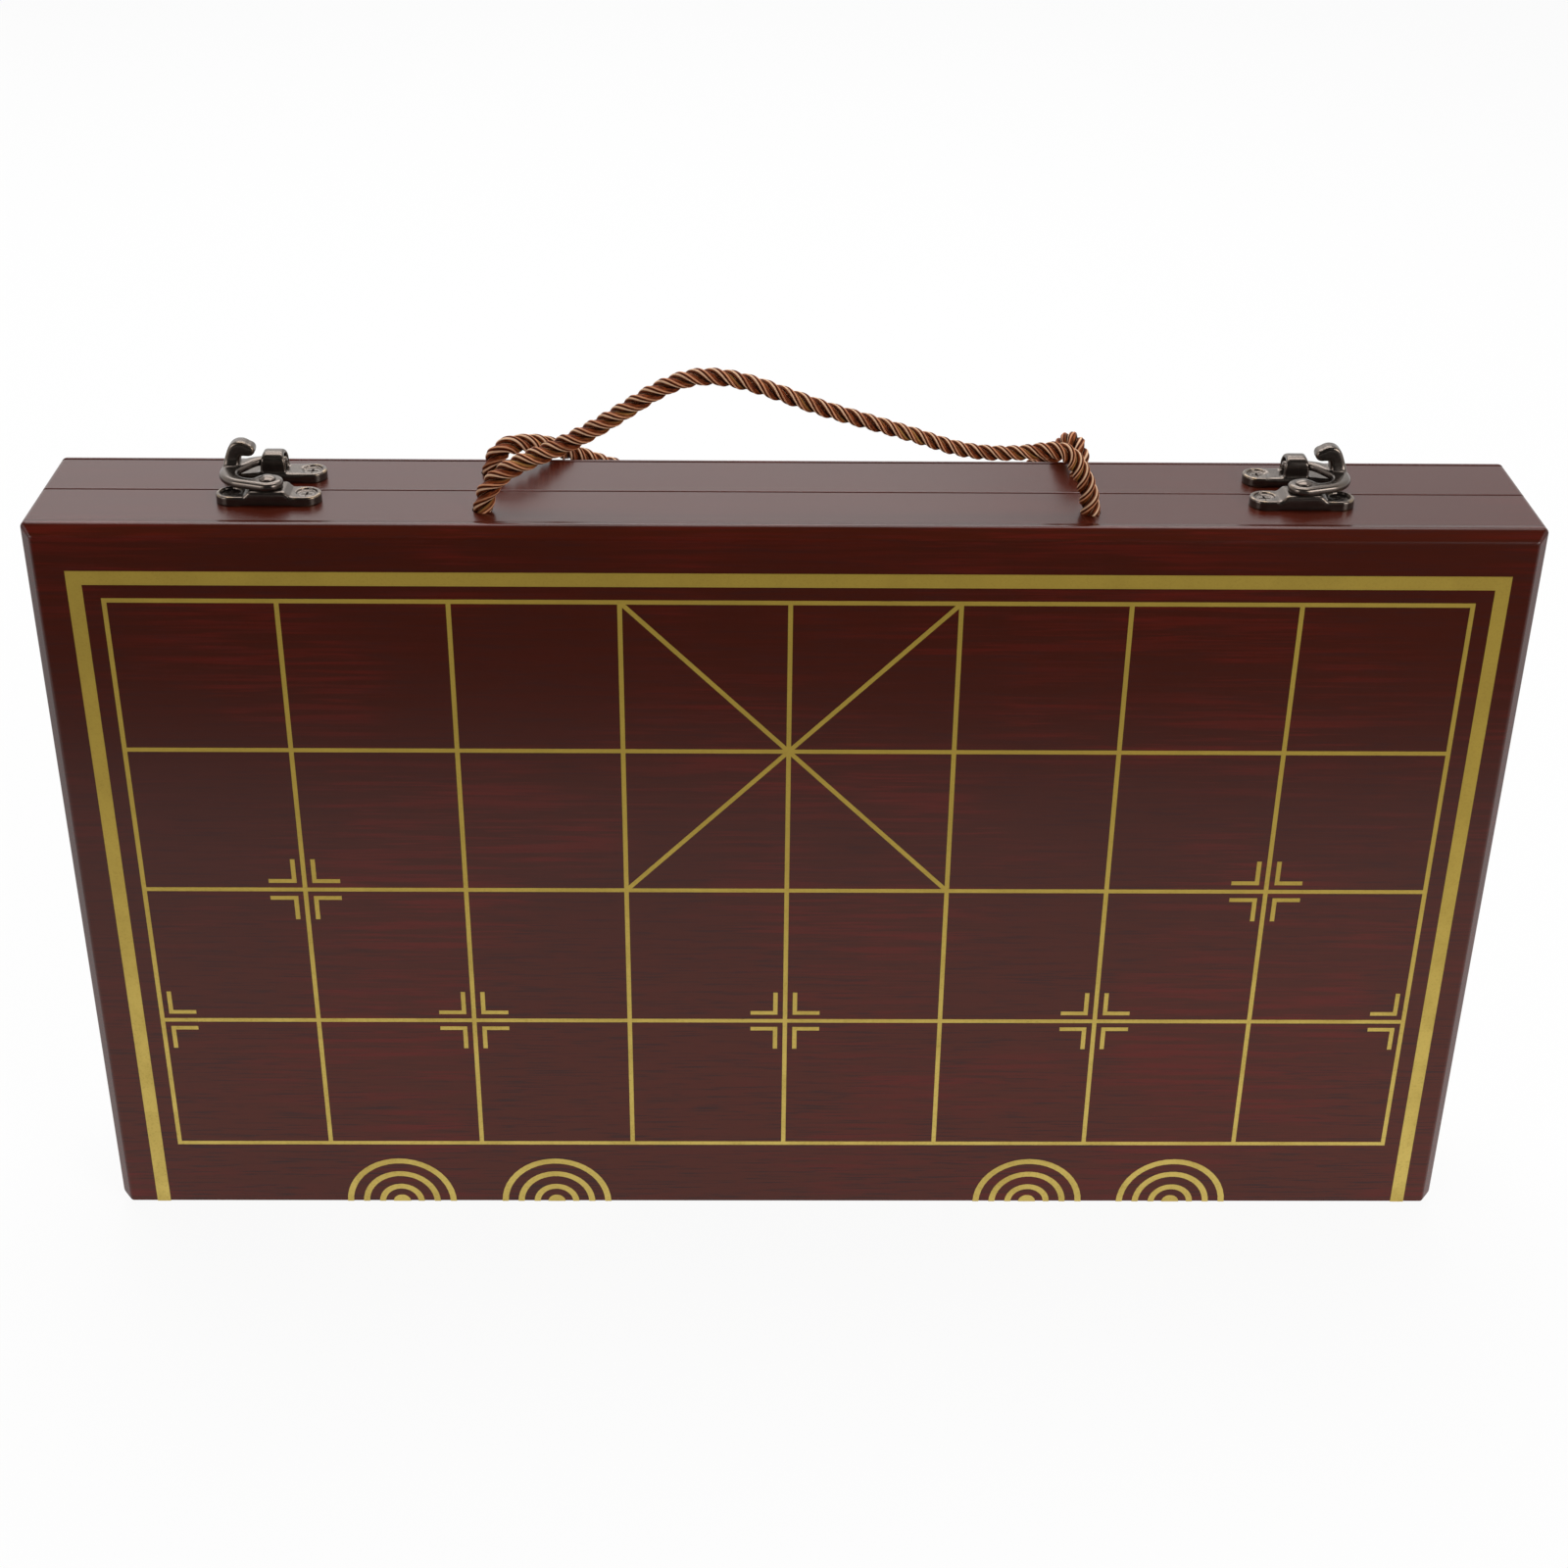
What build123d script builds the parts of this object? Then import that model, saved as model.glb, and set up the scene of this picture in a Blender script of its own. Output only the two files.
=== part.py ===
from build123d import *

import os
from math import atan2, degrees, pi, radians, sqrt, tan

# Folding board box for xiangqi: two shallow trays hinged along the spine edge.
# The outer face of each tray carries half of the playing board.  Two swing latches
# and two twisted cord handles sit on the edge opposite the hinges.
#
# Frame: X along the long side, Y from the front board to the rear board, Z up.
# Origin: centre of the footprint of the closed box, on the surface it stands on.
# All sizes are millimetres.

os.makedirs("parts", exist_ok=True)

# ---------------------------------------------------------------- driving sizes
# playing board
cell = 46.4                    # grid pitch, both ways
files = 8                      # cells across the board
ranks = 4                      # cells up each half of the board
side_margin = 19.4             # outer grid line to the side of the box
latch_margin = 21.6            # first grid line to the latch edge
print_shift = 1.1              # the print sits this far right of the centre
line_w = 1.3
border_w = 4.1
border_gap_latch = 4.6         # grid line's centre to the border, at the latch edge
border_gap_side = 5.35         # and at the sides
mark_gap = 2.25                # grid line's centre to a position mark
mark_w = 1.3
mark_len = 10.3                # grid line's centre to the end of a mark
ripple_radii = (17.0, 12.0, 7.0)
ripple_w = 1.9
ripple_eye = 2.7
ripple_files = (1.44, 2.48, 5.65, 6.62)    # places along the river, in cells
gun_files, gun_rank = (1, 7), 2            # marked points
foot_files, foot_rank = (0, 2, 4, 6, 8), 3
palace = 2                     # cells along the side of the palace
print_depth = 0.3              # recess that the gold print fills
print_proud = 0.05

# wooden trays
half_depth = 25.5              # mating plane to the board's outer face
panel_t = 5.0
edge_chamfer = 3.0
wall = 9.0
latch_corner_r = 1.5
spine_corner_r = 2.5
rim_ease = 0.4                 # eased arris round each rim
rim_gap = 0.15                 # each rim to the mating plane
spine_gap = 0.15               # each spine face to the hinge axis

# butt hinges
hinge_inset = 85.0             # its centre to the side of the box
hinge_len = 25.0
barrel_r = 1.5
hinge_pin_r = 0.75
knuckles = 5
leaf_t = 1.0
leaf_h = 8.4                   # hinge axis to the leaf's free edge
leaf_corner_r = 1.0
leaf_screw_x = 7.5
leaf_screw_h = 5.4
axial_gap = 0.2
knuckle_room = 0.3             # round a knuckle, in the other leaf and in the wood
mortise_fit = 0.1

# swing latches
latch_inset = 64.0             # its centre to the side of the box
latch_y = -7.4                 # line of the base plate's screws and rivet
catch_y = 8.6                  # line of the catch plate's screws and hood
catch_shift = 1.0              # catch plate, outwards of the base plate
plate_len = 28.4
plate_w = 8.0
plate_t = 2.5
plate_ease = 0.4
plate_screw_x = 10.3
seat_r = 2.95                  # dished seat round a screw head
seat_depth = 0.5
bridge_h = 4.1                 # wood to the bridge that carries the arm
bridge_top = 9.4
bridge_foot = 13.6
rivet_r = 1.25
rivet_head_r = 2.3
rivet_head_h = 1.1
rivet_foot = 1.0               # wood to the rivet's lower end
arm_t = 1.9
eye_r = 4.0
band_r = 8.7                   # outer edge of the arm's bow
band_u = 5.4                   # its centre, outwards of the rivet
bow_r = 5.1                    # inner edge of the bow
bow_u, bow_v = 4.2, 6.0
throat_r = 4.2                 # here the bow's inner edge runs into the finger
throat_u = 2.6
finger_w = 2.6
finger_reach = 2.6             # its tip, inwards of the rivet
arm_bevel = 0.45
arm_corner_r = 0.8
tab_h = 13.2                   # wood to the thumb tab's crown
tab_mid = 10.6                 # rearwards of the rivet
tab_front, tab_back = 1.6, 2.4     # its sides, to the front and rear of there
tab_root_front = 2.7
tab_root_z = 5.0
tab_inset = 0.3                # root to the bow's outer edge
tab_belly_in, tab_belly_z = 1.0, 8.0
tab_shoulder_in, tab_shoulder_z = 2.2, 11.2
tab_crown_u = 8.9              # outwards of the rivet, as the next three
tab_neck_u = 9.9
tab_throat_u, tab_throat_z = 9.1, 9.3
tab_curl_u, tab_curl_z = 6.5, 10.7
tab_curl_r = 1.5
hood_w = 6.9
hood_d = 6.4
hood_h = 8.0                   # wood to the hood's crown
hood_t = 1.0
hood_round = 2.4

# screws
latch_screw_r, latch_screw_head_r, latch_screw_head_h, latch_screw_len = 1.0, 2.3, 1.1, 7.6
leaf_screw_r, leaf_screw_head_r, leaf_screw_head_h, leaf_screw_len = 0.9, 1.7, 0.8, 7.5
head_room = 0.1                # countersink beyond the head
cross_span, cross_w, cross_depth = 3.0, 0.5, 0.55

# cord handles
cord_r = 2.35
cord_hole_x = 82.5
cord_hole_y = 12.75            # middle of each half's edge
cord_room = 0.45
knot_r = 5.6
knot_seat_r = 4.0
tail_len = 8.0

# clearances
turning_fit = 0.05             # radial, a piece that turns on its pin
held_fit = 0.02                # radial, a pin or screw that stays put
arm_gap = 0.2                  # arm to bridge, and arm to rivet head

# ---------------------------------------------------------------- worked out
axis_z = barrel_r              # the box stands on the hinge barrels
wood_bottom = axis_z + spine_gap
river_line = axis_z + cell / 2
first_line = river_line + ranks * cell
box_top = first_line + latch_margin
box_w = files * cell + 2 * side_margin
box_h = box_top - wood_bottom
latch_x = box_w / 2 - latch_inset
hinge_x = box_w / 2 - hinge_inset
panel_back = half_depth - panel_t
arm_bottom = bridge_h + arm_gap
arm_top = arm_bottom + arm_t
finger_r = catch_y - latch_y   # the finger's arc about the rivet
finger_end = 90 + degrees((finger_reach - finger_w / 2) / finger_r)
band_v = sqrt((finger_r + finger_w / 2 - band_r)**2 - band_u**2)   # the bow runs smoothly into the finger
finger_start = degrees(atan2(band_v, band_u))
band_out = band_u + band_r
finger_in = finger_r - finger_w / 2
throat_v = sqrt((finger_in - throat_r)**2 - throat_u**2)
throat_end = throat_u * finger_in / (finger_in - throat_r)
catch_x = latch_x + catch_shift
knuckle_pitch = hinge_len / knuckles
knot_drop = sqrt(knot_r**2 - knot_seat_r**2)   # rail to the knot's middle


def save(piece, label):
    piece.part.label = label
    export_step(piece.part, f"parts/{label}.step")


def mirrored(source, about):
    with BuildPart() as piece:
        mirror(source.part, about=about)
    return piece


# ---------------------------------------------------------------- wooden trays
def case_outline(y):
    """Face of the box seen from the front, on the plane y in front of the mating plane."""
    with BuildSketch(Plane.XZ.offset(y)) as outline:
        with Locations((0, wood_bottom + box_h / 2)):
            Rectangle(box_w, box_h)
        fillet(outline.vertices().group_by(Axis.Y)[-1], latch_corner_r)
        fillet(outline.vertices().group_by(Axis.Y)[0], spine_corner_r)
    return outline.sketch


def column(i):
    return print_shift + (i - files / 2) * cell


def row(j):
    """Height of a grid row, counted from the latch edge."""
    return first_line - j * cell


def gold_print():
    """All printed lines of one board half, on the floor of their recess."""
    grid_w = files * cell
    grid_h = ranks * cell
    inner_w = grid_w + 2 * border_gap_side
    inner_top = first_line + border_gap_latch
    marks = [(i, gun_rank) for i in gun_files] + [(i, foot_rank) for i in foot_files]
    with BuildSketch(Plane.XZ.offset(half_depth - print_depth)) as gold:
        with Locations(*[(column(i), (row(0) + row(ranks)) / 2) for i in range(files + 1)]):
            Rectangle(line_w, grid_h + line_w)
        with Locations(*[(print_shift, row(j)) for j in range(ranks + 1)]):
            Rectangle(grid_w + line_w, line_w)
        for angle in (45, -45):
            with Locations((column(files / 2), row(palace / 2))):
                Rectangle(line_w, palace * cell * sqrt(2), rotation=angle)
        for i, j in marks:
            for sx in (-1, 1):
                if 0 <= i + sx <= files:
                    for sz in (-1, 1):
                        long_at, short_at = (mark_gap + mark_len) / 2, mark_gap + mark_w / 2
                        with Locations((column(i) + sx * long_at, row(j) + sz * short_at)):
                            Rectangle(mark_len - mark_gap, mark_w)
                        with Locations((column(i) + sx * short_at, row(j) + sz * long_at)):
                            Rectangle(mark_w, mark_len - mark_gap)
        # border, open at the spine
        with BuildSketch(mode=Mode.PRIVATE) as border:
            with Locations((print_shift, inner_top + border_w)):
                Rectangle(inner_w + 2 * border_w, box_h, align=(Align.CENTER, Align.MAX))
            with Locations((print_shift, inner_top)):
                Rectangle(inner_w, box_h, align=(Align.CENTER, Align.MAX), mode=Mode.SUBTRACT)
        add(border.sketch)
        # ripples on the river, centred on the fold
        spots = [(column(i), axis_z) for i in ripple_files]
        with Locations(*spots):
            Circle(ripple_eye)
        for r in ripple_radii:
            with BuildSketch(mode=Mode.PRIVATE) as ring:
                Circle(r)
                Circle(r - ripple_w, mode=Mode.SUBTRACT)
            with Locations(*spots):
                add(ring.sketch)
        # nothing of the print passes the spine edge
        with Locations((0, wood_bottom)):
            Rectangle(2 * box_w, box_h, align=(Align.CENTER, Align.MAX), mode=Mode.SUBTRACT)
    return gold.sketch


gold = gold_print()

with BuildPart() as front_board_panel:
    with BuildSketch(Plane.XZ.offset(panel_back)):
        with Locations((0, wood_bottom)):
            Rectangle(box_w, box_h, align=(Align.CENTER, Align.MIN))
    extrude(amount=panel_t)
    face_edges = front_board_panel.edges().group_by(Axis.Y)[0]
    chamfer(face_edges.sort_by(Axis.Z)[1:], edge_chamfer)
    extrude(case_outline(panel_back), amount=panel_t, mode=Mode.INTERSECT)
    extrude(gold, amount=2 * print_depth, mode=Mode.SUBTRACT)

with BuildPart() as front_board_lines:
    extrude(gold, amount=print_depth + print_proud)

with BuildPart() as tray_frame:
    extrude(case_outline(rim_gap), amount=panel_back - rim_gap)
    rim = tray_frame.edges().group_by(Axis.Y)[-1]
    fillet(rim, rim_ease)
    with BuildSketch(Plane.XZ.offset(rim_gap)):
        with Locations((0, wood_bottom + box_h / 2)):
            Rectangle(box_w - 2 * wall, box_h - 2 * wall)
    extrude(amount=panel_back - rim_gap, mode=Mode.SUBTRACT)


def rail_blank(corners):
    """One side of the tray frame, mitred at both ends."""
    with BuildPart() as rail:
        add(tray_frame.part)
        with BuildSketch(Plane.XZ):
            with BuildLine():
                Polyline(*corners, close=True)
            make_face()
        extrude(amount=half_depth, mode=Mode.INTERSECT)
    return rail


# corners of the frame, outside and inside, seen from the front
side, inner_side = box_w / 2, box_w / 2 - wall
inner_top, inner_bottom = box_top - wall, wood_bottom + wall

latch_rail_blank = rail_blank([(-side, box_top), (side, box_top),
                               (inner_side, inner_top), (-inner_side, inner_top)])
spine_rail_blank = rail_blank([(-side, wood_bottom), (side, wood_bottom),
                               (inner_side, inner_bottom), (-inner_side, inner_bottom)])
front_right_rail = rail_blank([(side, wood_bottom), (side, box_top),
                               (inner_side, inner_top), (inner_side, inner_bottom)])
front_left_rail = mirrored(front_right_rail, Plane.YZ)


def latch_rail(blank, plate_x, plate_line):
    """Latch-side rail with its two cord holes and the pilot holes under two plates."""
    cord_holes = [(s * cord_hole_x, -cord_hole_y, box_top) for s in (-1, 1)]
    pilots = [(s * plate_x + t * plate_screw_x, plate_line, box_top) for s in (-1, 1) for t in (-1, 1)]
    with BuildPart() as rail:
        add(blank.part)
        with Locations(*cord_holes):
            Hole(cord_r + cord_room, depth=2 * wall)
        with Locations(*pilots):
            Hole(latch_screw_r + held_fit, depth=latch_screw_len - plate_t + seat_depth + head_room)
    return rail


# the rear rail is the mirror image of a front one with its plates on the catch line
front_latch_rail = latch_rail(latch_rail_blank, latch_x, latch_y)
rear_latch_rail = mirrored(latch_rail(latch_rail_blank, catch_x, -catch_y), Plane.XZ)

def leaf_screw_spots(x):
    """Heads of the two screws of the front leaf of a hinge at x, facing the mating plane."""
    return [Location((x + t * leaf_screw_x, -rim_gap, axis_z + leaf_screw_h), (-90, 0, 0)) for t in (-1, 1)]


mortise_w = hinge_len + 2 * mortise_fit
with BuildPart() as front_spine_rail:
    add(spine_rail_blank.part)
    for s in (-1, 1):
        with Locations((s * hinge_x, -rim_gap, wood_bottom)):
            Box(mortise_w, leaf_t, leaf_h - spine_gap + mortise_fit,
                align=(Align.CENTER, Align.MAX, Align.MIN), mode=Mode.SUBTRACT)
        with Locations((s * hinge_x, 0, axis_z)):
            Cylinder(barrel_r + knuckle_room, mortise_w, rotation=(0, 90, 0), mode=Mode.SUBTRACT)
    with Locations(*leaf_screw_spots(-hinge_x), *leaf_screw_spots(hinge_x)):
        Hole(leaf_screw_r + held_fit, depth=leaf_screw_len + head_room)


# ---------------------------------------------------------------- screws
def screw(r, head_r, head_h, length):
    """Countersunk cross-head screw, its head's face at the origin and its point down."""
    with BuildPart() as body:
        with BuildSketch(Plane.XZ):
            with BuildLine():
                Polyline((0, 0), (head_r, 0), (r, -head_h), (r, r - length), (0, -length), close=True)
            make_face()
        revolve(axis=Axis.Z)
        with BuildSketch():
            for angle in (0, 90):
                Rectangle(cross_span, cross_w, rotation=angle)
        extrude(amount=-cross_depth, mode=Mode.SUBTRACT)
    return body.part


def countersink(r, head_r, head_h):
    """Cutter for a screw's head and shank, its mouth at the origin."""
    with BuildPart() as cutter:
        with BuildSketch(Plane.XZ):
            with BuildLine():
                Polyline((0, plate_t), (head_r, plate_t), (head_r, 0), (r, -head_h), (r, -2 * plate_t),
                         (0, -2 * plate_t), close=True)
            make_face()
        revolve(axis=Axis.Z)
    return cutter.part


latch_screw = screw(latch_screw_r, latch_screw_head_r, latch_screw_head_h, latch_screw_len)
leaf_screw = screw(leaf_screw_r, leaf_screw_head_r, leaf_screw_head_h, leaf_screw_len)
plate_sink = countersink(latch_screw_r + head_room, latch_screw_head_r + head_room, latch_screw_head_h)
leaf_sink = countersink(leaf_screw_r + head_room, leaf_screw_head_r + head_room, leaf_screw_head_h)


# ---------------------------------------------------------------- butt hinges
def knuckle_places(own):
    """Middles of the knuckles of one leaf: the front leaf owns the even ones."""
    first = hinge_x - hinge_len / 2 + knuckle_pitch / 2
    return [(first + i * knuckle_pitch, 0, axis_z) for i in range(knuckles) if i % 2 == own]


def hinge_leaf(own, bore):
    """Right-hand hinge leaf on the front side of the mating plane."""
    with BuildPart() as leaf:
        with Locations((hinge_x, -rim_gap, axis_z)):
            Box(hinge_len, leaf_t, leaf_h, align=(Align.CENTER, Align.MAX, Align.MIN))
        fillet(leaf.edges().filter_by(Axis.Y).group_by(Axis.Z)[-1], leaf_corner_r)
        with Locations(*knuckle_places(own)):
            Cylinder(barrel_r, knuckle_pitch - axial_gap, rotation=(0, 90, 0))
        with Locations(*knuckle_places(1 - own)):
            Cylinder(barrel_r + knuckle_room, knuckle_pitch + axial_gap, rotation=(0, 90, 0),
                     mode=Mode.SUBTRACT)
        with Locations((hinge_x, 0, axis_z)):
            Cylinder(bore, 2 * hinge_len, rotation=(0, 90, 0), mode=Mode.SUBTRACT)
        with Locations(*leaf_screw_spots(hinge_x)):
            add(leaf_sink, mode=Mode.SUBTRACT)
    return leaf


right_hinge_front_leaf = hinge_leaf(0, hinge_pin_r + held_fit)
right_hinge_rear_leaf = mirrored(hinge_leaf(1, hinge_pin_r + turning_fit), Plane.XZ)

with BuildPart() as right_hinge_pin:
    with Locations((hinge_x, 0, axis_z)):
        Cylinder(hinge_pin_r, hinge_len, rotation=(0, 90, 0))

with BuildPart() as right_hinge_front_screws:
    with Locations(*leaf_screw_spots(hinge_x)):
        add(leaf_screw)
right_hinge_rear_screws = mirrored(right_hinge_front_screws, Plane.XZ)


# ---------------------------------------------------------------- swing latches
def plate_blank(x, y):
    """Screw plate with rounded ends, lying on the wood with its middle at x, y."""
    with BuildPart() as plate:
        with BuildSketch(Plane((x, y, box_top))):
            SlotOverall(plate_len, plate_w)
        extrude(amount=plate_t)
        fillet(plate.faces().sort_by(Axis.Z)[-1].edges(), plate_ease)
    return plate.part


def seat_screws(x, y):
    return [(x + t * plate_screw_x, y, box_top + plate_t - seat_depth) for t in (-1, 1)]


with BuildPart() as right_latch_base:
    add(plate_blank(latch_x, latch_y))
    with BuildSketch(Plane((latch_x, latch_y, box_top), x_dir=(1, 0, 0), z_dir=(0, -1, 0))):
        with BuildLine():
            Polyline((-bridge_foot / 2, plate_t - seat_depth), (-bridge_top / 2, bridge_h),
                     (bridge_top / 2, bridge_h), (bridge_foot / 2, plate_t - seat_depth), close=True)
        make_face()
    extrude(amount=plate_w / 2, both=True)
    fillet(right_latch_base.faces().sort_by(Axis.Z)[-1].edges(), plate_ease)
    with Locations(*seat_screws(latch_x, latch_y)):
        Cylinder(seat_r, plate_t, align=(Align.CENTER, Align.CENTER, Align.MIN), mode=Mode.SUBTRACT)
        add(plate_sink, mode=Mode.SUBTRACT)
    with Locations((latch_x, latch_y, box_top + bridge_h)):
        Hole(rivet_r + held_fit, depth=bridge_h - rivet_foot)

with BuildPart() as right_latch_rivet:
    with BuildSketch(Plane((latch_x, latch_y, box_top), x_dir=(1, 0, 0), z_dir=(0, -1, 0))):
        head_z = arm_top + arm_gap
        rim_z = head_z + rivet_head_h / 3
        crown = head_z + rivet_head_h
        with BuildLine():
            Polyline((0, crown), (0, rivet_foot), (rivet_r, rivet_foot), (rivet_r, head_z),
                     (rivet_head_r, head_z), (rivet_head_r, rim_z))
            TangentArc((0, crown), (rivet_head_r, rim_z), tangent=(1, 0))
        make_face()
    revolve(axis=Axis((latch_x, latch_y, 0), (0, 0, 1)))

with BuildPart() as thumb_tab:
    # side view, looking along Y: a neck that curls back over the bow
    with BuildSketch(Plane((latch_x, latch_y, box_top), x_dir=(1, 0, 0), z_dir=(0, -1, 0))):
        root_in, root_out = (tab_neck_u, tab_root_z), (band_out - tab_inset, tab_root_z)
        shoulder = (band_out - tab_shoulder_in, tab_shoulder_z)
        curl_top, curl_foot = (tab_curl_u, tab_curl_z + tab_curl_r), (tab_curl_u, tab_curl_z - tab_curl_r)
        with BuildLine():
            Line(root_in, root_out)
            ThreePointArc(root_out, (band_out - tab_belly_in, tab_belly_z), shoulder)
            ThreePointArc(shoulder, (tab_crown_u, tab_h), curl_top)
            ThreePointArc(curl_top, (tab_curl_u - tab_curl_r, tab_curl_z), curl_foot)
            Polyline(curl_foot, (tab_throat_u, tab_throat_z), root_in)
        make_face()
    extrude(amount=-2 * band_r)
    # front view, looking along X: wider at the root, set back at the top
    with BuildSketch(Plane((latch_x, latch_y, box_top), x_dir=(0, 1, 0), z_dir=(1, 0, 0))):
        with BuildLine():
            Polyline((tab_mid - tab_root_front, tab_root_z), (tab_mid + tab_back, tab_root_z),
                     (tab_mid + tab_back, 2 * tab_h), (tab_mid - tab_front, 2 * tab_h),
                     (tab_mid - tab_front, tab_belly_z), close=True)
        make_face()
    extrude(amount=2 * band_r, mode=Mode.INTERSECT)

with BuildPart() as right_latch_arm:
    with BuildSketch(Plane((latch_x, latch_y, box_top + arm_bottom))) as arm_outline:
        Circle(eye_r)
        with Locations((band_u, band_v)):
            Circle(band_r)
        make_hull()
        with BuildSketch(mode=Mode.PRIVATE) as opening:
            with Locations((bow_u, bow_v)):
                Circle(bow_r)
            with Locations((throat_u, throat_v)):
                Circle(throat_r)
            make_hull()
        add(opening.sketch, mode=Mode.SUBTRACT)
        with Locations((throat_end, 0)):
            Rectangle(2 * band_r, 2 * band_r, align=(Align.MAX, Align.MIN), mode=Mode.SUBTRACT)
        Circle(eye_r)
        with BuildLine(mode=Mode.PRIVATE):
            finger_arc = CenterArc((0, 0), finger_r, finger_start, finger_end - finger_start)
        SlotArc(finger_arc, finger_w)
        fillet(arm_outline.vertices().sort_by_distance((eye_r, 0))[0], arm_corner_r)
    extrude(amount=arm_t)
    chamfer(right_latch_arm.faces().sort_by(Axis.Z)[-1].outer_wire().edges(), arm_bevel)
    with Locations((latch_x, latch_y, box_top + arm_top)):
        Hole(rivet_r + turning_fit, depth=arm_t)
    add(thumb_tab.part)

with BuildPart() as right_catch_plate:
    add(plate_blank(catch_x, catch_y))
    hood_plane = Plane((catch_x, catch_y, box_top + plate_t), x_dir=(0, 1, 0), z_dir=(1, 0, 0))
    with BuildSketch(hood_plane) as hood:
        with Locations((0, -plate_ease)):
            Rectangle(hood_d, hood_h - plate_t + plate_ease, align=(Align.CENTER, Align.MIN))
        fillet(hood.vertices().group_by(Axis.Y)[-1], hood_round)
    extrude(amount=hood_w / 2, both=True)
    with Locations(*seat_screws(catch_x, catch_y)):
        Cylinder(seat_r, plate_t, align=(Align.CENTER, Align.CENTER, Align.MIN), mode=Mode.SUBTRACT)
        add(plate_sink, mode=Mode.SUBTRACT)
    with BuildSketch(hood_plane) as tunnel:
        Rectangle(hood_d - 2 * hood_t, hood_h - hood_t - plate_t, align=(Align.CENTER, Align.MIN))
        fillet(tunnel.vertices().group_by(Axis.Y)[-1], hood_round - hood_t)
    extrude(amount=hood_w, both=True, mode=Mode.SUBTRACT)


def plate_screws(x, y):
    with BuildPart() as pair:
        with Locations(*seat_screws(x, y)):
            add(latch_screw)
    return pair


right_latch_base_screws = plate_screws(latch_x, latch_y)
right_catch_screws = plate_screws(catch_x, catch_y)


# ---------------------------------------------------------------- cord handles
hole_floor = -wall
front_route = [
    (-cord_hole_x, -cord_hole_y, hole_floor), (-cord_hole_x, -cord_hole_y, -4.7), (-82.4, -12.7, 0.4),
    (-80.7, -12.6, 5.6), (-76.3, -12.4, 9.8), (-69.5, -12.2, 12.9), (-61.6, -12.0, 16.3),
    (-53.2, -11.9, 21.0), (-43.6, -11.8, 27.7), (-34.4, -11.7, 34.0), (-26.0, -11.7, 37.6),
    (-17.5, -11.7, 37.8), (-9.5, -11.8, 35.6), (-1.0, -11.8, 32.4), (9.6, -11.9, 28.4),
    (23.0, -12.0, 24.5), (35.5, -12.1, 20.7), (45.0, -12.2, 17.5), (54.4, -12.3, 16.4),
    (63.8, -12.4, 16.9), (71.6, -12.5, 18.2), (76.0, -12.6, 16.9), (79.0, -12.65, 12.0),
    (81.5, -12.7, 6.4), (82.4, -12.74, 0.6), (cord_hole_x, -cord_hole_y, -4.6),
    (cord_hole_x, -cord_hole_y, hole_floor)]
rear_route = [
    (-cord_hole_x, cord_hole_y, hole_floor), (-cord_hole_x, cord_hole_y, -4.7), (-82.4, 12.8, -0.2),
    (-81.6, 13.3, 4.3), (-78.4, 15.8, 6.4), (-74.0, 19.0, 5.6), (-69.4, 22.8, 4.2), (-64.6, 26.0, 1.6),
    (-59.2, 28.6, -1.4), (-52.5, 29.6, -4.2), (-44.0, 29.5, -6.6), (-33.0, 29.3, -8.6),
    (-20.0, 29.1, -10.2), (-6.0, 29.0, -11.2), (8.0, 29.1, -11.3), (22.0, 29.0, -10.6),
    (35.0, 29.1, -9.6), (47.0, 29.3, -8.5), (57.5, 29.5, -7.8), (66.5, 29.8, -6.4), (73.0, 29.6, -3.9),
    (77.2, 27.6, -0.2), (78.9, 24.2, 4.0), (80.2, 20.7, 7.5), (81.8, 16.2, 7.9), (82.6, 12.9, 4.6),
    (82.5, 12.8, -0.2), (cord_hole_x, cord_hole_y, -4.7), (cord_hole_x, cord_hole_y, hole_floor)]


def bend_radii(points):
    """Largest arc for each corner that leaves a tenth of the shorter run straight."""
    radii = []
    for a, b, c in zip(points, points[1:], points[2:]):
        run_in, run_out = b - a, c - b
        half_turn = radians(run_in.get_angle(run_out) / 2)
        radii.append(0.45 * min(run_in.length, run_out.length) / tan(half_turn))
    return radii


def cord(route, label):
    """Plain round cord along a route whose heights are counted from the latch edge."""
    points = [Vector(x, y, z + box_top) for x, y, z in route]
    radii = bend_radii(points)
    with BuildPart() as tube:
        with BuildLine():
            path = FilletPolyline(*points, radius=radii)
        with BuildSketch(Plane(points[0], z_dir=points[1] - points[0])):
            Circle(cord_r)
        sweep(path=path)
    length = path.length
    swept = tube.part.volume / (pi * cord_r**2 * length)
    print(label, "length", round(length, 1), "volume ratio", round(swept, 4),
          "bend radii", [round(r, 1) for r in radii])
    return tube


front_rope = cord(front_route, "front_rope")
rear_rope = cord(rear_route, "rear_rope")


def knot(x, y):
    """Round knot under the rail with the cord's cut end below it."""
    with BuildPart() as stopper:
        with Locations((x, y, box_top - wall - knot_drop)):
            Sphere(knot_r)
            Cylinder(cord_r, knot_r + tail_len, align=(Align.CENTER, Align.CENTER, Align.MAX))
        split(bisect_by=Plane((x, y, box_top - wall)), keep=Keep.BOTTOM)
    return stopper


# ---------------------------------------------------------------- assembly
front = {
    "board_panel": front_board_panel, "board_lines": front_board_lines, "top_rail": front_latch_rail,
    "spine_rail": front_spine_rail, "left_rail": front_left_rail, "right_rail": front_right_rail,
    "rope": front_rope,
    "left_knot": knot(-cord_hole_x, -cord_hole_y), "right_knot": knot(cord_hole_x, -cord_hole_y)}
for label, piece in front.items():
    save(piece, "front_" + label)

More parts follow.
